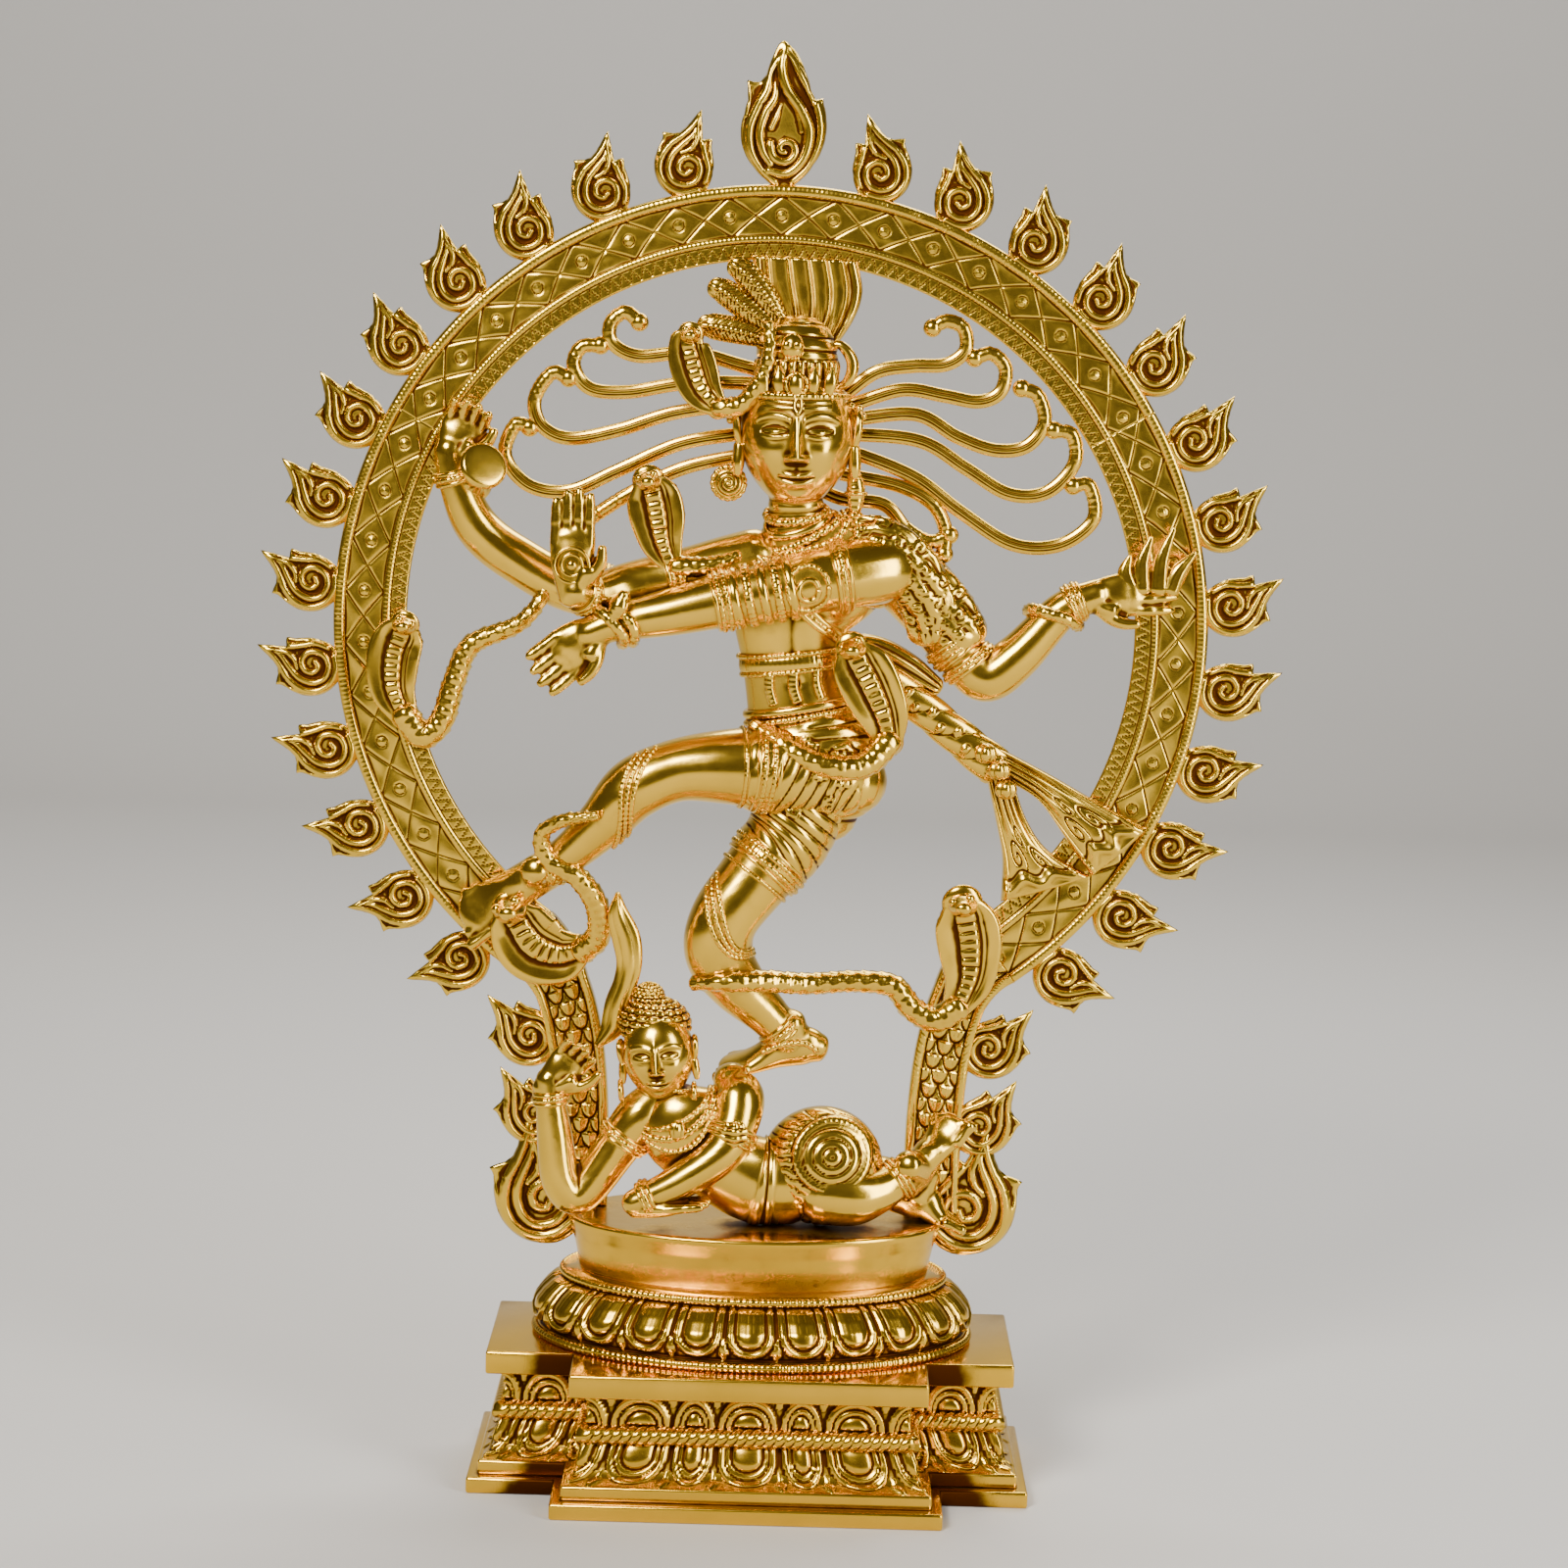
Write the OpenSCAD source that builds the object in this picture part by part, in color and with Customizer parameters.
// Brass statue of the dancing Shiva inside a ring of flames, standing on a dwarf,
// a drum-shaped base, a lotus pedestal and a stepped plinth.
// Millimetres. The origin is the bottom centre of the plinth, the front faces -Y.

/* [Plinth] */
// Height of the stepped plinth
plinth_h = 60; // [54:1:80]
// Width of the plinth across its wings, at the bottom slab
plinth_w = 237; // [196:1:300]
// Depth of the plinth's centre block, at the bottom slab
plinth_d = 154; // [128:1:200]
// Width of the plinth's centre block, at the bottom slab
block_w = 163; // [120:1:180]
// Depth of the plinth's wings, at the bottom slab
wing_d = 92; // [70:1:110]
// Wall of the hollow plinth casting
plinth_wall = 5; // [3:0.5:8]

/* [Pedestals] */
// Width of the oval lotus pedestal at its widest
lotus_w = 192; // [170:1:232]
// Depth of the oval lotus pedestal at its widest
lotus_d = 128; // [108:1:154]
// Height of the lotus pedestal
lotus_h = 29; // [24:1:40]
// Number of petals around the lotus
petal_count = 22; // [16:1:28]
// Width of the smooth drum base at its top
drum_w = 160; // [150:1:192]
// Depth of the smooth drum base at its top
drum_d = 88; // [80:1:106]
// Height of the smooth drum base
drum_h = 23; // [18:1:32]

/* [Flame arch] */
// Outer radius of the ring; the dancer inside grows with it
arch_r = 185; // [155:1:225]
// Radial width of the ring's band
arch_band = 31; // [24:1:36]
// Thickness of the ring
arch_t = 7; // [5:0.5:10]
// Distance of the ring's middle plane behind the figure's, for a ring of 185
arch_y = 10; // [8:0.5:14]
// Width of the posts between the ring and the drum
post_w = 24; // [18:1:28]
// Thickness of the posts
post_t = 8; // [6:0.5:10]
// Height of a small flame above the ring's edge
flame_h = 34; // [26:1:42]
// Height of the crest flame above the ring
crest_h = 60; // [45:1:75]
// Thickness of the flame plates
flame_t = 6; // [4:0.5:8]
// Small flames on each side of the ring
flame_count = 13; // [10:1:14]

/* [Fixings] */
// Diameter of the two bolts that hold the pedestals to the plinth
bolt_d = 8; // [6:0.5:10]
// Diameter of the dowel pins under the posts and the dwarf
pin_d = 5; // [4:0.5:7]
// Clearance between a bolt or pin and its hole, on the diameter
fit_clear = 0.3; // [0.2:0.05:0.6]

/* [Hidden] */

// Heights of the plinth's bands; the sloping petal band takes the rest
slab_h = 7;
step_h = 6;
rope_h = 8;
arcade_h = 13;
cap_h = 10;
slope_h = plinth_h - slab_h - step_h - rope_h - arcade_h - cap_h;
// How far each band stands back from the bottom slab's edge
step_in = 4.5;
slope_in = 15.5;
rope_in = 12.5;
cap_in = 7;
cavity_h = plinth_h - cap_h;

z_lotus = plinth_h;
z_drum = z_lotus + lotus_h;
z_top = z_drum + drum_h;

// The figure is drawn for a ring of 185 and is scaled with the ring
fig = arch_r / 185;
arch_rise = 252.5 * fig;
ring_y = arch_y * fig;
arch_cz = z_top + arch_rise;
arch_in = arch_r - arch_band;
seam_left = 61;
seam_right = 59;
arch_end = 144;
flame_first = 12;
flame_last = 138.6;
flame_step = (flame_last - flame_first) / (flame_count - 1);
crown_flames = 5;
fan_lap = 1.5;

drum_foot_w = drum_w - 10;
drum_foot_d = drum_d - 6;
post_x = drum_w / 2 - 4;
bolt_x = 30;
bolt_head_d = bolt_d * 1.8;
bolt_head_h = bolt_d * 0.65;
bolt_grip = cap_h + lotus_h + drum_h / 2;
pin_len = 16;
dwarf_pins = [[2, -15] * fig, [28, -13] * fig];

// ---------------------------------------------------------------- helpers
function unit(v) = v / norm(v);
function xyz(p) = [p.x, p.y, p.z];
function blend(a, b, c, d, t) = 0.5 * (2 * b + (c - a) * t + (2 * a - 5 * b + 4 * c - d) * t * t
    + (3 * b - a - 3 * c + d) * t * t * t);
// Smooth curve through hand-chosen points, n steps between neighbours
function smooth(p, n = 3) = let(last = len(p) - 1) concat(
    [for (i = [0:last - 1]) for (j = [0:n - 1])
        blend(p[max(i - 1, 0)], p[i], p[i + 1], p[min(i + 2, last)], j / n)],
    [p[last]]);
function bezier(a, b, c, d, t) = a * pow(1 - t, 3) + 3 * b * t * pow(1 - t, 2)
    + 3 * c * t * t * (1 - t) + d * pow(t, 3);
// A point on the ring's plane at an angle from the top, clockwise from the front
function ring_xz(r, a) = [r * sin(a), arch_cz + r * cos(a)];

// Limb with an oval section: each point is [x, y, z, half width, half depth]
module limb(route, sides = 8, flat = 1, front = [0, -1, 0]) {
    n = len(route);
    tip = function(p, q) let(d = unit(xyz(p) - xyz(q)), w = p[3] * 0.72)
        concat(xyz(p) + d * p[3] * 0.45, [w], is_undef(p[4]) ? [] : [p[4] * 0.72]);
    full = concat([tip(route[0], route[1])], route, [tip(route[n - 1], route[n - 2])]);
    last = n + 1;
    rings = [for (i = [0:last])
        let(p = full[i], t = unit(xyz(full[min(i + 1, last)]) - xyz(full[max(i - 1, 0)])),
            s = unit(cross(t, front)), u = cross(s, t),
            depth = is_undef(p[4]) ? p[3] * flat : p[4])
        [for (j = [0:sides - 1]) let(w = 360 * j / sides)
            xyz(p) + s * p[3] * cos(w) + u * depth * sin(w)]];
    loft(rings);
}

// Closed solid through rings of points that all have the same count
module loft(rings) {
    sides = len(rings[0]);
    last = len(rings) - 1;
    polyhedron(points = [for (r = rings) each r], faces = concat(
        [[for (j = [sides - 1:-1:0]) j], [for (j = [0:sides - 1]) last * sides + j]],
        [for (i = [0:last - 1]) for (j = [0:sides - 1]) let(k = (j + 1) % sides)
            [i * sides + j, i * sides + k, (i + 1) * sides + k, (i + 1) * sides + j]]));
}

// Oval ring of points; clockwise seen from above so that loft() faces outwards
function oval_ring(a, b, z, n = 40) = [for (j = [0:n - 1]) let(w = -360 * j / n) [a * cos(w), b * sin(w), z]];

// Everything above the drum is drawn in the figure's own frame
module figure() translate([0, 0, z_top]) scale(fig) children();

// Ball with its own width, depth and height
module ball(c, w, d, h, sides = 12, rings = 6)
    loft([for (i = [0:rings]) let(a = -80 + 160 * i / rings)
        [for (p = oval_ring(w * cos(a), d * cos(a), h * sin(a), sides)) p + c]]);

// Plain ring around a limb: centre, axis, inner and outer radius, width
module band(c, axis, r, t = 1.6, w = 4) {
    d = unit(axis);
    translate(c) rotate([0, acos(d.z), atan2(d.y, d.x)])
        rotate_extrude($fn = 24) translate([r - 0.4, -w / 2]) square([t + 0.4, w]);
}

// Hand with the wrist at the origin, fingers along +Z, palm to -Y and thumb to +X
module hand(spread = 1, curl = 0, palm = 20, finger = 17) {
    limb([[0, 0, 0, 5, 4], [0, 0, palm * 0.5, 7.5, 3.6], [0, -0.5, palm, 8.2, 3]]);
    for (i = [0:3]) {
        x = (i - 1.5) * 4;
        long = finger * [0.85, 1, 0.95, 0.8][3 - i];
        limb([[x, -0.5, palm - 2, 2.1],
            [x + spread * (i - 1.5) * 0.8, -0.5 - curl * 2, palm + long * 0.55, 2],
            [x + spread * (i - 1.5) * 1.6, -0.5 - curl * 7, palm + long, 1.5]], sides = 6);
    }
    limb([[5, -1, 4, 2.6], [9.5, -3, 11, 2.3], [10, -4, 18, 1.7]], sides = 6);
}

// Foot with the ankle at the origin, toes along +X and the sole facing -Z
module foot(long = 36) {
    limb([[-7, 0, -8, 6, 5], [2, 0, -6, 7, 7], [long * 0.5, 0, -9.5, 8, 4.2],
        [long * 0.78, 0, -11, 8.6, 3]], front = [0, 0, 1]);
    for (i = [0:4]) {
        y = (i - 2) * 3.6;
        limb([[long * 0.74, y, -11, 2.2], [long - abs(i - 3) * 1.6, y * 1.1, -12, i == 0 ? 2.6 : 1.9]],
            sides = 6, front = [0, 0, 1]);
    }
}

// Cobra: a tapering body that ends in a flat hood standing up behind its head
module cobra(body, hood, face = [0, -1, 0]) {
    limb(smooth(body, 2), sides = 7);
    limb(smooth(hood, 2), sides = 8, flat = 0.42, front = face);
}

// Flame plate: round belly at the foot and a pointed tip that bends to +X; foot at the origin
module flame(h, w, lean) {
    belly = w / 2;
    mid = belly * 0.95;
    outline = concat(
        [for (a = [150:24:342]) [belly * cos(a), mid + belly * sin(a)]],
        [[belly * 1.04, mid + h * 0.14], [belly * 0.72 + lean * 0.35, h * 0.66], [lean + w * 0.02, h],
            [lean * 0.55 - w * 0.1, h * 0.82], [-belly * 0.72 + lean * 0.15, h * 0.62]]);
    rotate([90, 0, 0]) translate([0, 0, -flame_t / 2]) linear_extrude(flame_t) polygon(outline);
}

// ---------------------------------------------------------------- base
// Outline of the cross-shaped plinth, set in by e
module cross_plan(e) {
    square([block_w - 2 * e, plinth_d - 2 * e], center = true);
    square([plinth_w - 2 * e, wing_d - 2 * e], center = true);
}

// Corners of a rectangle set in by e, clockwise seen from above
function plan_ring(size, e, z) = let(x = size.x / 2 - e, y = size.y / 2 - e)
    [[x, y, z], [x, -y, z], [-x, -y, z], [-x, y, z]];

module layer(z, h, e) translate([0, 0, z]) linear_extrude(h) cross_plan(e);

module plinth() color("darkgoldenrod") {
    z_step = slab_h;
    z_slope = z_step + step_h;
    z_rope = z_slope + slope_h;
    z_arcade = z_rope + rope_h;
    z_cap = z_arcade + arcade_h;
    // each layer runs this far into its larger neighbour
    lap = 1;
    difference() {
        union() {
            layer(0, slab_h, 0);
            layer(z_step - lap, step_h + lap, step_in);
            for (size = [[block_w, plinth_d], [plinth_w, wing_d]])
                loft([plan_ring(size, step_in + 1, z_slope - lap), plan_ring(size, step_in + 1, z_slope),
                    plan_ring(size, slope_in, z_rope), plan_ring(size, slope_in, z_rope + lap)]);
            layer(z_rope, rope_h, rope_in);
            layer(z_arcade - lap, arcade_h + 2 * lap, slope_in);
            layer(z_cap, cap_h, cap_in);
        }
        layer(-lap, z_slope + lap, step_in + plinth_wall);
        layer(-lap, cavity_h + lap, slope_in + plinth_wall);
        bolt_holes(cavity_h - 1, cap_h + 2);
    }
}

module bolt_holes(z, h) for (x = [-bolt_x, bolt_x])
    translate([x, 0, z]) cylinder(d = bolt_d + fit_clear, h = h, $fn = 32);

module lotus_pedestal() color("goldenrod") {
    a = lotus_w / 2;
    b = lotus_d / 2;
    // [height share, how far in from the widest line]
    profile = [[0, 3], [0.12, 2], [0.14, 5], [0.3, 1.6], [0.48, 2.5], [0.68, 7], [0.84, 13],
        [0.87, 12], [1, 13.5]];
    difference() {
        loft([for (p = profile) oval_ring(a - p[1], b - p[1], z_lotus + p[0] * lotus_h)]);
        bolt_holes(z_lotus - 1, lotus_h + 2);
    }
}

module lotus_petals() color("gold")
    for (i = [0:petal_count - 1]) {
        w = 360 * (i + 0.5) / petal_count;
        a = lotus_w / 2;
        b = lotus_d / 2;
        out = atan2(sin(w) / b, cos(w) / a);
        translate([(a - 6) * cos(w), (b - 6) * sin(w), z_lotus])
            rotate([0, 0, out]) limb([[-5, 0, lotus_h * 0.8, 7, 3], [1, 0, lotus_h * 0.5, 8.5, 4.2],
                [2, 0, lotus_h * 0.28, 5.5, 3.6]], front = [1, 0, 0], sides = 8);
    }

module drum_pedestal() color("goldenrod") difference() {
    loft([oval_ring(drum_foot_w / 2, drum_foot_d / 2, z_drum),
        oval_ring(drum_foot_w / 2 + 1.5, drum_foot_d / 2 + 1.5, z_drum + drum_h * 0.2),
        oval_ring(drum_w / 2 - 2, drum_d / 2 - 2, z_drum + drum_h * 0.75),
        oval_ring(drum_w / 2, drum_d / 2, z_top - 1),
        oval_ring(drum_w / 2 - 0.8, drum_d / 2 - 0.8, z_top)]);
    bolt_holes(z_drum - 1, drum_h / 2 + 1);
    pin_holes();
}

module base_bolts() color("dimgray") for (x = [-bolt_x, bolt_x])
    translate([x, 0, cavity_h]) {
        cylinder(d = bolt_d, h = bolt_grip - 1, $fn = 32);
        translate([0, 0, -bolt_head_h]) cylinder(d = bolt_head_d, h = bolt_head_h, $fn = 6);
    }

// Holes for the dowel pins, half of each in the drum and half in the piece above it
module pin_holes() for (p = pin_places()) translate([p.x, p.y, z_top - pin_len / 2])
    cylinder(d = pin_d + fit_clear, h = pin_len + 0.5, $fn = 32);

function pin_places() = concat([[post_x, ring_y], [-post_x, ring_y]], dwarf_pins);

module post_pins() color("dimgray") for (p = pin_places())
    translate([p.x, p.y, z_top - pin_len / 2]) cylinder(d = pin_d, h = pin_len, $fn = 32);

// ---------------------------------------------------------------- flame arch
// Band of the ring between two angles from the top, with its raised rims
module arch_segment(from, to) color("goldenrod") {
    half = arch_t / 2;
    translate([0, ring_y, arch_cz]) rotate([90, 0, 0]) rotate([0, 0, 90 - to])
        rotate_extrude(angle = to - from, $fn = 180) polygon([
            [arch_in, -half * 0.7], [arch_in, half * 0.7], [arch_in + 6.5, half * 0.7],
            [arch_in + 7, half], [arch_in + 10, half], [arch_in + 10.5, half * 0.75],
            [arch_r - 5, half * 0.75], [arch_r - 4.5, half], [arch_r - 1, half], [arch_r, half * 0.6],
            [arch_r, -half * 0.7]]);
}

module arch_top() arch_segment(-seam_left, seam_right);
module arch_left() arch_segment(-arch_end, -seam_left);
module arch_right() arch_segment(seam_right, arch_end);

// Post that turns down from the end of the ring to the drum, right-hand side
module arch_post() color("goldenrod") {
    mid = arch_r - arch_band / 2;
    start = ring_xz(mid, arch_end);
    down = [cos(arch_end), -sin(arch_end)];
    foot_at = [post_x, z_top];
    rise = start.y - z_top;
    centre = [for (i = [0:10]) bezier(start, start + down * rise * 0.22,
        [foot_at.x - 1.5, z_top + rise * 0.52], foot_at, i / 10)];
    normal = function(i) let(d = unit(centre[min(i + 1, 10)] - centre[max(i - 1, 0)])) [-d.y, d.x];
    half = function(i) arch_band / 2 + (post_w - arch_band) / 2 * min(1, i / 3);
    difference() {
        translate([0, ring_y, 0]) rotate([90, 0, 0]) translate([0, 0, -post_t / 2]) linear_extrude(post_t)
            polygon(concat([for (i = [0:10]) centre[i] + normal(i) * half(i)],
                [for (i = [10:-1:0]) centre[i] - normal(i) * half(i)]));
        pin_holes();
    }
}

module arch_post_right() arch_post();
module arch_post_left() mirror([1, 0, 0]) arch_post();

// Flame on the ring's edge at an angle from the top, its tip leaning to the crest
module ring_flame(a) {
    p = ring_xz(arch_r - 1, a);
    translate([p.x, ring_y, p.y]) rotate([0, a, 0]) mirror([a > 0 ? 1 : 0, 0, 0])
        flame(flame_h, flame_h * 0.78, flame_h * 0.42);
}

module ring_flames(first, last, sides) color("gold")
    for (s = sides) for (i = [first:last]) ring_flame(s * (flame_first + flame_step * (i - 1)));

module flames_top() ring_flames(1, crown_flames, [-1, 1]);
module flames_left() ring_flames(crown_flames + 1, flame_count, [-1]);
module flames_right() ring_flames(crown_flames + 1, flame_count, [1]);

module crest_flame() color("gold") translate([0, ring_y, arch_cz + arch_r - 1])
    mirror([1, 0, 0]) flame(crest_h + 1, crest_h * 0.58, crest_h * 0.06);

// Two flames on the outer edge of a post, right-hand side
module post_flames() color("gold")
    for (p = [[post_x + post_w * 0.54, 0.6, 72], [post_x + post_w * 0.46, 0.29, 62]])
    translate([p.x, ring_y, z_top + arch_rise * 0.46 * p.y]) rotate([0, p.z, 0]) mirror([1, 0, 0])
        flame(flame_h * 1.12, flame_h * 0.8, flame_h * 0.3);

module flames_post_right() post_flames();
module flames_post_left() mirror([1, 0, 0]) post_flames();

// Large flame beside the drum, right-hand side
module base_flame() color("gold") difference() {
    translate([drum_w / 2 - 1, ring_y, z_top - drum_h * 0.5]) rotate([0, 38, 0]) mirror([1, 0, 0])
        flame(flame_h * 1.55, flame_h * 1.25, flame_h * 0.5);
    pin_holes();
}

module base_flame_right() base_flame();
module base_flame_left() mirror([1, 0, 0]) base_flame();

// ---------------------------------------------------------------- dancer
module torso() color("goldenrod") figure() limb(smooth([
    [19, -2, 176, 20, 14], [20, -3, 190, 27, 17], [13, -3, 216, 21.5, 14], [10, -3, 240, 20.5, 13.5],
    [9, -3, 256, 23.5, 15], [11, -3, 273, 30, 15.5], [14, -3, 284, 35, 13], [12, -3, 292, 22, 10.5],
    [10, -4, 299, 10, 9.5], [9, -6, 309, 9, 9]], 2), sides = 14);

module head() color("gold") figure() {
    ball([9, -8, 331], 20.5, 20, 26, sides = 18, rings = 10);
    // nose and ears
    limb([[9, -26.5, 335, 1.6, 1.6], [9, -29.5, 326, 3, 2]], sides = 6);
    for (s = [-1, 1]) limb([[9 + s * 20, -6, 338, 3, 4], [9 + s * 21, -6, 326, 2.4, 3]], sides = 6);
}

module crown() color("goldenrod") figure() translate([8, -6, 0]) rotate_extrude($fn = 40) polygon([
    [0, 346], [20.5, 346], [22, 349], [22, 352], [20, 354], [18.5, 356], [17, 360], [17.5, 364],
    [16, 372], [13, 379], [6, 383], [0, 384]]);

// Feathers behind the crown; their tops run a little way under the ring's inner edge
module feather_fan() color("goldenrod") figure() {
    foot = 376;
    tip = (arch_rise + arch_in) / fig + fan_lap - foot;
    translate([2, 9, foot]) rotate([90, 0, 0]) linear_extrude(6) polygon([[-13, -8], [-29, -6], [-34, 0],
        [-30, 7], [-32, 14], [-26, 20], [-27, 26], [-22, tip - 2], [-8, tip], [8, tip], [23, tip - 2],
        [25, 20], [20, 6], [15, -8]]);
}

module crown_ornaments() color("gold") figure() {
    // crescent at the right of the crown
    translate([25, -8, 363]) rotate([90, 0, 0]) linear_extrude(4)
        polygon(concat([for (a = [-110:20:110]) 9 * [cos(a), sin(a)]],
            [for (a = [70:-20:-70]) 6.5 * [cos(a), sin(a)] - [3, 0]]));
    // skull and front jewel
    ball([6, -22, 371], 5, 4.5, 6, sides = 10, rings = 4);
    ball([8, -27, 356], 4.5, 3, 6, sides = 8, rings = 4);
}

// Hair lock that starts inside the head or crown and ends in a curl
module lock(points, y = 4) limb(smooth([for (q = points) [q.x, y, q.y, 3, 2.4]], 2), sides = 6);

module hair_locks_right() color("goldenrod") figure() {
    lock([[15, 347], [26, 350], [41, 361], [56, 364], [70, 365], [78, 371], [77, 380], [70, 383], [64, 380]]);
    lock([[16, 345], [30, 347], [52, 354], [70, 352], [84, 350], [93, 354], [95, 364], [89, 370], [82, 368]]);
    lock([[16, 340], [30, 341], [58, 344], [76, 335], [92, 330], [105, 332], [112, 342], [109, 353],
        [102, 356]]);
    lock([[16, 335], [30, 335], [60, 333], [80, 322], [98, 312], [114, 313], [125, 325], [124, 337],
        [116, 339]]);
    lock([[16, 329], [30, 328], [58, 318], [78, 304], [100, 291], [120, 291], [134, 302], [132, 316],
        [125, 316]]);
    lock([[16, 321], [30, 318], [52, 314], [66, 307], [72, 297], [72, 286]]);
    lock([[14, 314], [28, 308], [46, 306], [56, 296], [66, 291], [74, 294]]);
}

module hair_locks_left() color("goldenrod") figure() {
    lock([[0, 359], [-14, 362], [-36, 367], [-58, 365], [-69, 370], [-70, 378], [-64, 383], [-58, 379]]);
    lock([[0, 353], [-14, 355], [-40, 354], [-62, 350], [-78, 351], [-85, 360], [-82, 368], [-74, 369]]);
    lock([[0, 345], [-14, 346], [-42, 342], [-66, 334], [-86, 330], [-98, 335], [-101, 346], [-94, 357],
        [-87, 355]]);
    lock([[0, 336], [-14, 334], [-40, 329], [-66, 317], [-86, 308], [-103, 310], [-113, 322], [-109, 335],
        [-103, 334]]);
    lock([[0, 328], [-14, 325], [-38, 319], [-60, 308], [-78, 296]]);
}

module blessing_arm() color("gold") figure() {
    limb(smooth([[-14, -6, 281, 12], [-38, -9, 275, 10.5], [-60, -13, 271, 9.5], [-72, -22, 270, 7.5],
        [-80, -29, 270, 6]], 2));
    translate([-81, -30, 268]) hand(spread = 0.1, palm = 20, finger = 21);
}

module drum_arm() color("gold") figure() {
    limb(smooth([[-14, 2, 276, 12], [-45, 6, 268, 10.5], [-80, 6, 268, 9.5], [-108, 5, 281, 9],
        [-122, 3, 294, 8.5], [-131, 1, 311, 7], [-136, 0, 324, 5.6]], 2));
    translate([-136, 0, 322]) rotate([0, 25, 0]) hand(spread = 0.2, curl = 1, palm = 13, finger = 12);
}

module crossing_arm() color("gold") figure() {
    limb(smooth([[48, -5, 279, 14], [27, -16, 277, 13.5], [5, -22, 272, 12], [-17, -25, 267, 11],
        [-42, -27, 261, 9.5], [-66, -28, 255, 7], [-74, -28, 252, 6]], 2));
    translate([-72, -28, 253]) rotate([0, 231, 0]) mirror([1, 0, 0]) hand(spread = 0.3, palm = 15,
        finger = 16);
}

module flame_arm() color("gold") figure() {
    limb(smooth([[46, 0, 281, 13], [66, 2, 262, 11.5], [80, 2, 245, 10.5], [91, 1, 236, 10.5],
        [104, 0, 245, 9.5], [122, -1, 265, 7.2], [136, -1, 271, 5.8]], 2));
    translate([134, -1, 271]) rotate([0, 90, 0]) hand(spread = 0.6, curl = -0.3, palm = 16, finger = 16);
}

module raised_leg() color("gold") figure() {
    limb(smooth([[26, -5, 192, 18], [4, -12, 195, 17.5], [-18, -16, 196, 15], [-38, -18, 194, 12.8],
        [-55, -19, 186, 12.5], [-68, -17, 171, 10.5], [-82, -13, 157, 8.4],
            [-97, -8, 146, 6.8]], 2), sides = 10);
    translate([-95, -8, 150]) rotate([0, 32, 0]) mirror([1, 0, 0]) foot(36);
}

module standing_leg() color("gold") figure() {
    limb(smooth([[17, -2, 186, 17.5], [10, -5, 166, 16.5], [-4, -9, 148, 15], [-16, -12, 131, 14],
        [-17, -10, 116, 13.5], [-9, -7, 102, 11.5], [3, -5, 89, 9], [12, -4, 79, 7.5]], 2), sides = 10);
    translate([13, -4, 79]) rotate([0, -12, 0]) mirror([1, 0, 0]) foot(30);
}

module hand_drum() color("goldenrod") figure() translate([-124, -6, 315]) rotate([68, 0, 24])
    rotate_extrude($fn = 28) polygon([[0, -11], [9, -11], [10, -9], [5, 0], [10, 9], [9, 11], [0, 11]]);

module hand_flame() color("gold") figure() for (t = [[150, 14, -8], [156, 22, 4], [163, 25, 12],
    [168, 16, 26]])
    translate([t[0], -2, 274]) rotate([0, t[2], 0]) limb([[0, 0, 0, 4.5, 3], [-1, 0, t[1] * 0.5, 3.6, 2.6],
        [2, 0, t[1], 1.4, 1.4]], sides = 6);

// ---------------------------------------------------------------- dress and jewels
module waist_belt() color("goldenrod") figure() {
    limb([[10, -3, 239, 22, 15], [10, -3, 244, 22, 15]], sides = 14);
    limb([[12, -3, 221, 22.5, 15.5], [12.5, -3, 216, 23.5, 16]], sides = 14);
    limb([[18, -3, 203, 28, 18], [19.5, -3, 197, 29, 18.5]], sides = 14);
}

module waist_sash() color("goldenrod") figure() {
    limb(smooth([[28, 0, 247, 5, 3], [44, 2, 243, 7, 3], [60, 3, 234, 5, 2.6], [72, 3, 230, 2.5, 2]], 2));
    limb(smooth([[34, -2, 240, 6, 4], [52, 1, 232, 7, 4], [68, 2, 219, 7.5, 4], [96, 2, 197, 8, 4.5]], 2));
    // the two flared ends beyond the knot, lying on the ring
    limb(smooth([[94, 2, 200, 7.5, 4], [119, 1, 188, 8, 3], [142, 0, 172, 11, 3], [156, 0, 163, 17, 3]], 2));
    limb(smooth([[96, 2, 198, 6, 4], [104, 1, 178, 7, 3], [110, 0, 160, 10, 3], [114, 0, 145, 16, 3]], 2));
}

module shoulder_scarf() color("goldenrod") figure() {
    limb(smooth([[38, -10, 293, 8, 5], [52, -10, 288, 10, 6], [62, -8, 274, 9, 5], [62, -6, 258, 6, 3]], 2));
    // sash across the chest
    limb(smooth([[-16, -12, 287, 4, 3], [4, -17, 272, 4, 3], [22, -15, 254, 4, 3]], 2));
}

module earrings() color("gold") figure() {
    translate([-17, -6, 316]) rotate([90, 0, 0]) rotate_extrude($fn = 24) translate([5, 0]) circle(d = 3.6,
        $fn = 16);
    ball([-17, -7, 316], 3.4, 2.6, 3.4, sides = 8, rings = 4);
    limb([[33, -6, 320, 3, 2.6], [34, -6, 312, 4, 3.2], [34, -6, 303, 2.6, 2.4]], sides = 6);
    ball([32, -6, 343], 5, 4, 6, sides = 8, rings = 4);
    ball([-18, -4, 344], 5.5, 4, 6, sides = 8, rings = 4);
}

module necklace() color("gold") figure() {
    limb([[10, -4, 297, 13, 12], [10, -4, 300, 12.5, 11.5]], sides = 14);
    limb([[11, -4, 288, 24, 14], [10.5, -4, 292, 20, 13]], sides = 14);
}

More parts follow.
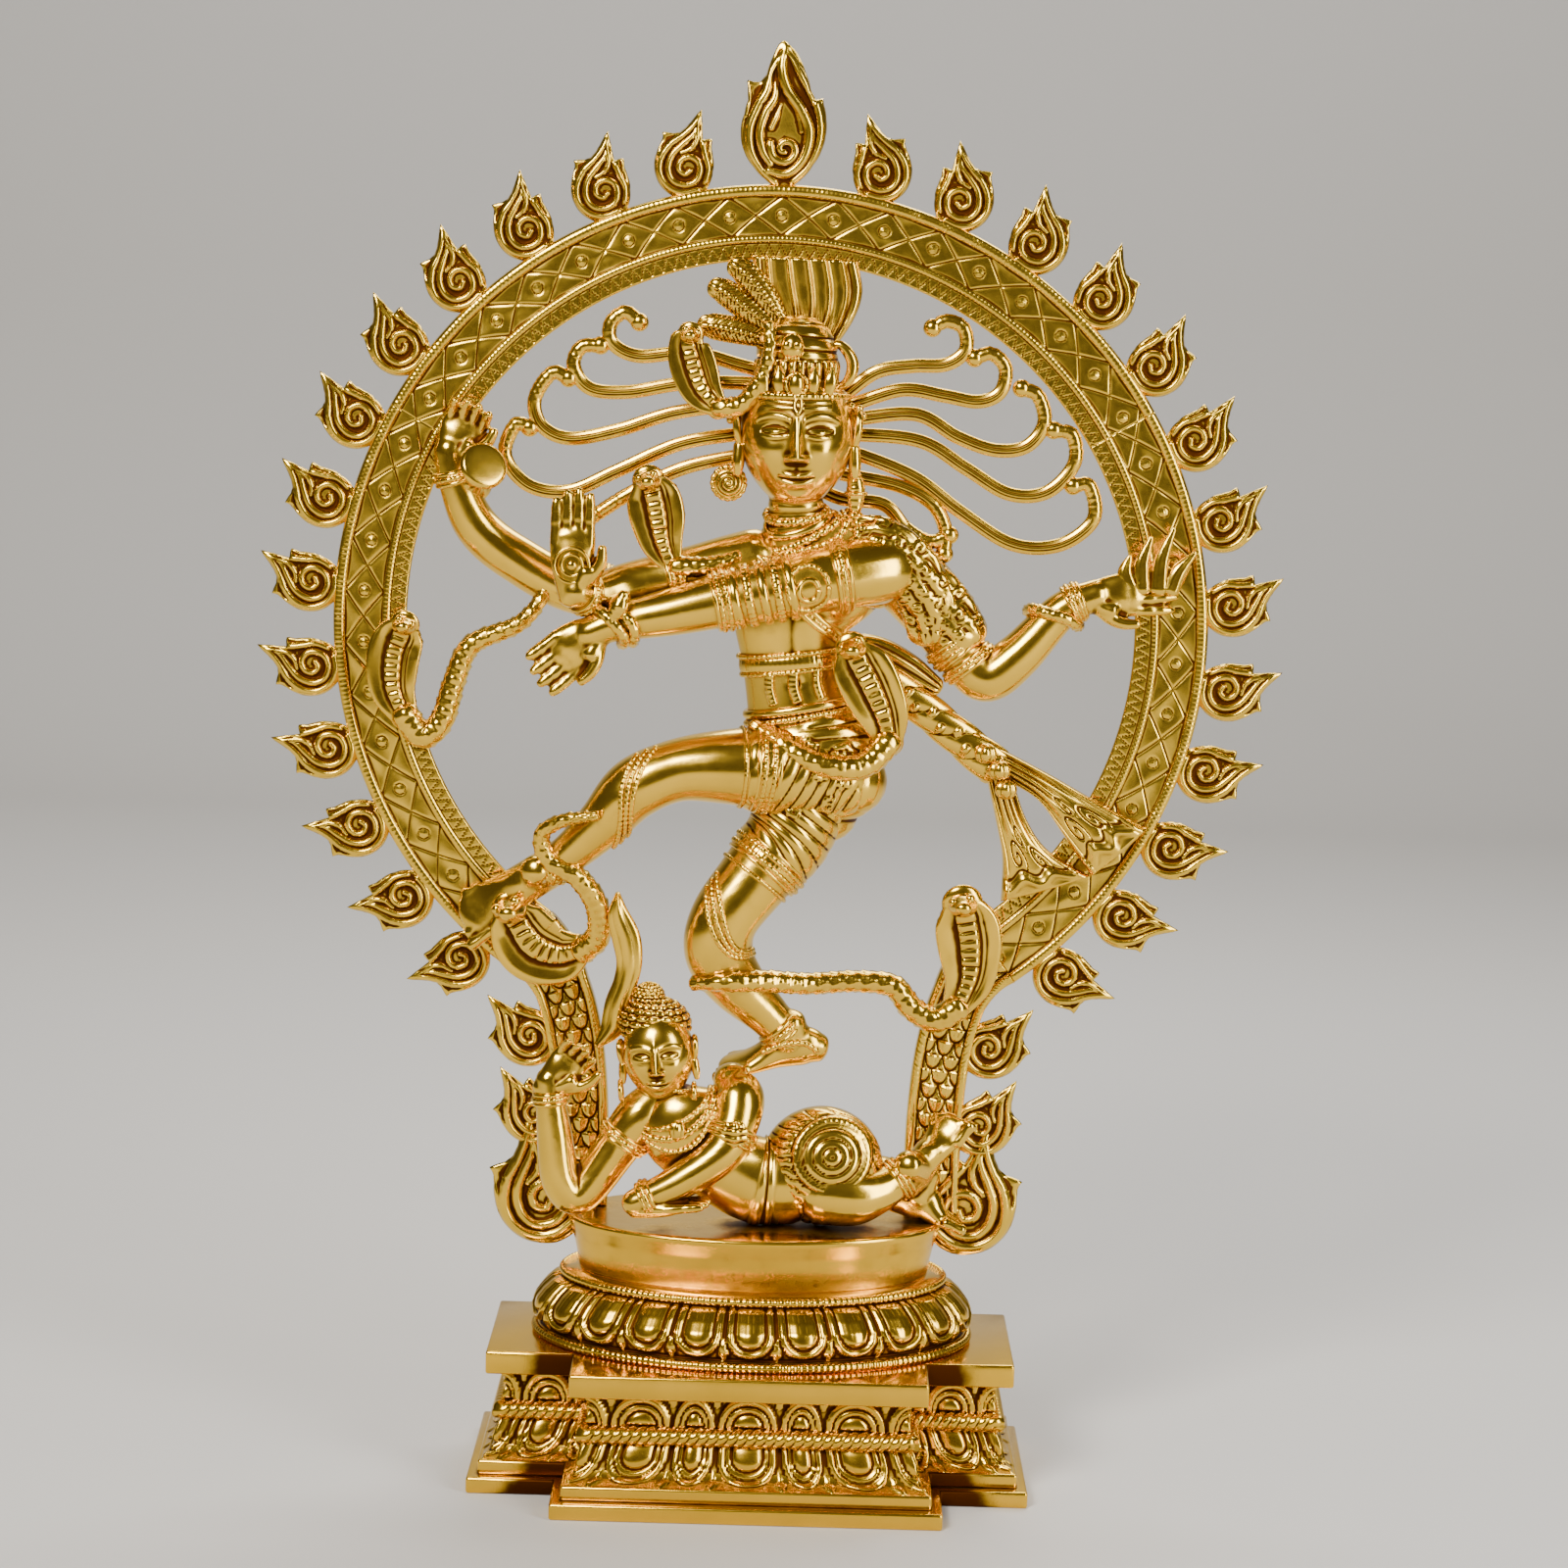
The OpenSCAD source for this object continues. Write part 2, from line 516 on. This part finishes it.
module armlets() color("goldenrod") figure() {
    for (x = [-42, -50]) band([x, -10, 275], [-20, -3, -3], 10.5, w = 5);
    for (x = [2, -6]) band([x, -22, 271], [-20, -3, -4], 12.5, w = 5);
    for (t = [0, 1]) band([70 + 6 * t, 2, 257 - 8 * t], [13, 0, -17], 11.5, w = 5);
    band([-64, 6, 268], [-1, 0, 0.05], 10.5, w = 6);
}

module bracelets() color("gold") figure() {
    limb(smooth([[-62, -37, 252, 2.6], [-66, -36, 262, 2.8], [-72, -34, 268, 4],
        [-77, -33, 270, 3.2]], 2), sides = 6);
    band([-68, -28, 254], [-9, 0, -3], 8, t = 2.6, w = 7);
    band([126, -1, 267], [14, 0, 8], 7.5, t = 2.6, w = 6);
    limb(smooth([[118, -8, 272, 3.2], [124, -10, 274, 3.4], [132, -8, 262, 2.6],
        [136, -6, 258, 2.2]], 2), sides = 6);
    band([-133, 1, 317], [-4, 0, 13], 6.6, w = 4);
}

module leg_bands() color("goldenrod") figure() {
    band([0, -12, 195], [1, 0.3, 0], 17.4, t = 1.6, w = 8);
    band([2, -8, 156], [13, 5, 18], 15.4, t = 1.6, w = 8);
    band([-60, -18, 181], [13, -2, 14], 12, t = 1.8, w = 5);
    band([-90, -10, 151], [14, -5, 11], 7.8, w = 4);
    band([7, -4, 84], [-9, 0, 10], 8.4, w = 4);
}

// ---------------------------------------------------------------- cobras
module crown_cobra() color("goldenrod") figure() cobra(
    [[-9, -16, 378, 2], [-7, -18, 368, 3], [-10, -18, 356, 3.6], [-18, -16, 347, 4], [-26, -14, 349, 4.4]],
    [[-27, -13, 347, 4], [-31, -12, 358, 8], [-32, -12, 366, 9], [-36, -12, 374, 5]]);

module arm_cobra() color("goldenrod") figure() cobra(
    [[-18, -14, 286, 3], [-30, -15, 283, 4], [-40, -16, 282, 4.6]],
    [[-42, -16, 282, 5], [-45, -17, 292, 9], [-47, -17, 302, 10.5], [-50, -17, 312, 8], [-52, -18, 318, 4]]);

module waist_cobra() color("goldenrod") figure() cobra(
    [[-6, -17, 214, 2.5], [8, -21, 206, 4], [24, -22, 199, 5], [40, -20, 200, 5.5], [51, -16, 210, 6]],
    [[51, -16, 209, 6], [47, -18, 222, 10], [40, -20, 234, 11.5], [34, -20, 244, 9], [32, -20, 250, 4]]);

module arch_cobra() color("goldenrod") figure() cobra(
    [[-93, 0, 272, 2], [-97, -2, 262, 2.6], [-106, -3, 252, 3.2], [-125, -3, 243, 4], [-132, -3, 228, 4.6],
        [-137, -3, 211, 5], [-145, -3, 204, 5.4], [-153, -3, 213, 6]],
    [[-154, -3, 212, 6], [-158, -3, 226, 9], [-157, -3, 240, 10.5], [-153, -3, 248, 8], [-152, -5, 254, 5]]);

module ankle_cobra() color("goldenrod") figure() cobra(
    [[-70, -30, 176, 2], [-84, -27, 173, 2.8], [-93, -20, 166, 3.4], [-90, -18, 155, 4], [-78, -18, 148, 4.6],
        [-70, -14, 136, 5], [-69, -8, 122, 5.4], [-76, -4, 114, 6]],
    [[-76, -4, 116, 6], [-88, -3, 112, 13], [-98, -4, 117, 15], [-105, -5, 128, 9], [-106, -6, 135, 4]]);

module knee_cobra() color("goldenrod") figure() cobra(
    [[-28, -18, 104, 3], [-14, -22, 107, 3.6], [2, -17, 106, 4], [20, -12, 104, 4], [40, -9, 105, 4.2],
        [56, -7, 103, 4.6], [64, -7, 94, 4.8], [74, -7, 89, 5.2], [84, -7, 96, 5.6]],
    [[83, -7, 95, 6], [88, -7, 110, 11], [87, -7, 124, 13], [84, -8, 136, 9], [84, -10, 143, 5]]);

// ---------------------------------------------------------------- dwarf
module dwarf_body() color("goldenrod") difference() {
    figure() {
        limb(smooth([[-35, -20, 56, 8, 8], [-32, -18, 45, 19, 13], [-20, -17, 31, 18, 14],
            [-2, -15, 19, 18.5, 15], [10, -14, 18, 18, 15]], 2), sides = 12);
        ball([28, -13, 25.5], 26, 19, 26, sides = 16, rings = 8);
    }
    pin_holes();
}

module dwarf_head() color("gold") figure() {
    ball([-42, -22, 74], 15.5, 15, 18.5, sides = 16, rings = 8);
    ball([-45, -18, 90], 13, 12, 9, sides = 12, rings = 4);
    ball([-47, -16, 98], 6, 6, 5, sides = 10, rings = 4);
    limb([[-42, -35.5, 76, 1.4, 1.4], [-42, -38, 70, 2.6, 1.8]], sides = 6);
    for (s = [-1, 1]) limb([[-42 + s * 15.5, -20, 78, 2.4, 3], [-42 + s * 16, -20, 68, 2.2, 2.6]], sides = 6);
}

module dwarf_raised_arm() color("gold") figure() {
    limb(smooth([[-47, -17, 48, 9], [-60, -19, 31, 8.4], [-74, -22, 13, 8], [-83, -24, 20, 7.6],
        [-85, -24, 38, 7], [-88, -24, 62, 5]], 2));
    translate([-88, -24, 60]) rotate([0, 48, 0]) hand(spread = 0.1, curl = 1, palm = 12, finger = 11);
}

module dwarf_resting_arm() color("gold") figure() {
    limb(smooth([[-8, -18, 58, 10], [-9, -26, 46, 9], [-15, -31, 34, 8.2], [-32, -34, 22, 7],
        [-50, -35, 13, 5.2]], 2));
    translate([-48, -34, 12]) rotate([0, -82, 0]) rotate([0, 0, 90])
        hand(spread = 0.2, palm = 13, finger = 13);
}

module dwarf_legs() color("gold") difference() {
    figure() {
        limb(smooth([[36, -20, 14, 14, 13], [50, -18, 16, 10, 10], [60, -15, 20, 7, 7],
            [66, -13, 24, 6, 6]], 2));
        limb(smooth([[38, -2, 16, 13, 12], [54, 0, 18, 9, 9], [66, -2, 14, 6.5, 6.5]], 2));
        translate([66, -13, 24]) rotate([0, -52, 0]) foot(24);
        translate([68, -3, 16]) rotate([0, 20, 0]) foot(20);
    }
    pin_holes();
}

module dwarf_sword() color("goldenrod") figure() translate([0, -14, 0]) rotate([90, 0, 0])
    linear_extrude(4) polygon([[-61, 142], [-56, 134], [-51, 122], [-50, 112], [-53, 103], [-56, 98],
        [-57, 86], [-63, 76], [-69, 75], [-66, 84], [-64, 97], [-61, 104], [-60, 112], [-63, 122],
        [-65, 132]]);

module dwarf_bands() color("gold") figure() {
    band([-87, -24, 56], [-2, 0, 20], 5.6, w = 4);
    band([-12, -28, 40], [-6, -6, -12], 9, w = 4);
    band([-45, -35, 15], [-17, 0, -8], 6, w = 4);
    band([61, -14.5, 20.5], [6, 2, 4], 7.4, w = 4);
    limb([[-35, -20, 52, 14, 12], [-35, -20, 55, 12, 11]], sides = 12);
}

plinth();
lotus_pedestal();
lotus_petals();
drum_pedestal();
base_bolts();
post_pins();
arch_top();
arch_left();
arch_right();
arch_post_left();
arch_post_right();
crest_flame();
flames_top();
flames_left();
flames_right();
flames_post_left();
flames_post_right();
base_flame_left();
base_flame_right();
torso();
head();
crown();
feather_fan();
crown_ornaments();
hair_locks_left();
hair_locks_right();
blessing_arm();
drum_arm();
crossing_arm();
flame_arm();
standing_leg();
raised_leg();
hand_drum();
hand_flame();
waist_belt();
waist_sash();
shoulder_scarf();
earrings();
necklace();
crown_cobra();
arm_cobra();
waist_cobra();
arch_cobra();
ankle_cobra();
knee_cobra();
armlets();
bracelets();
leg_bands();
dwarf_body();
dwarf_head();
dwarf_raised_arm();
dwarf_resting_arm();
dwarf_legs();
dwarf_sword();
dwarf_bands();
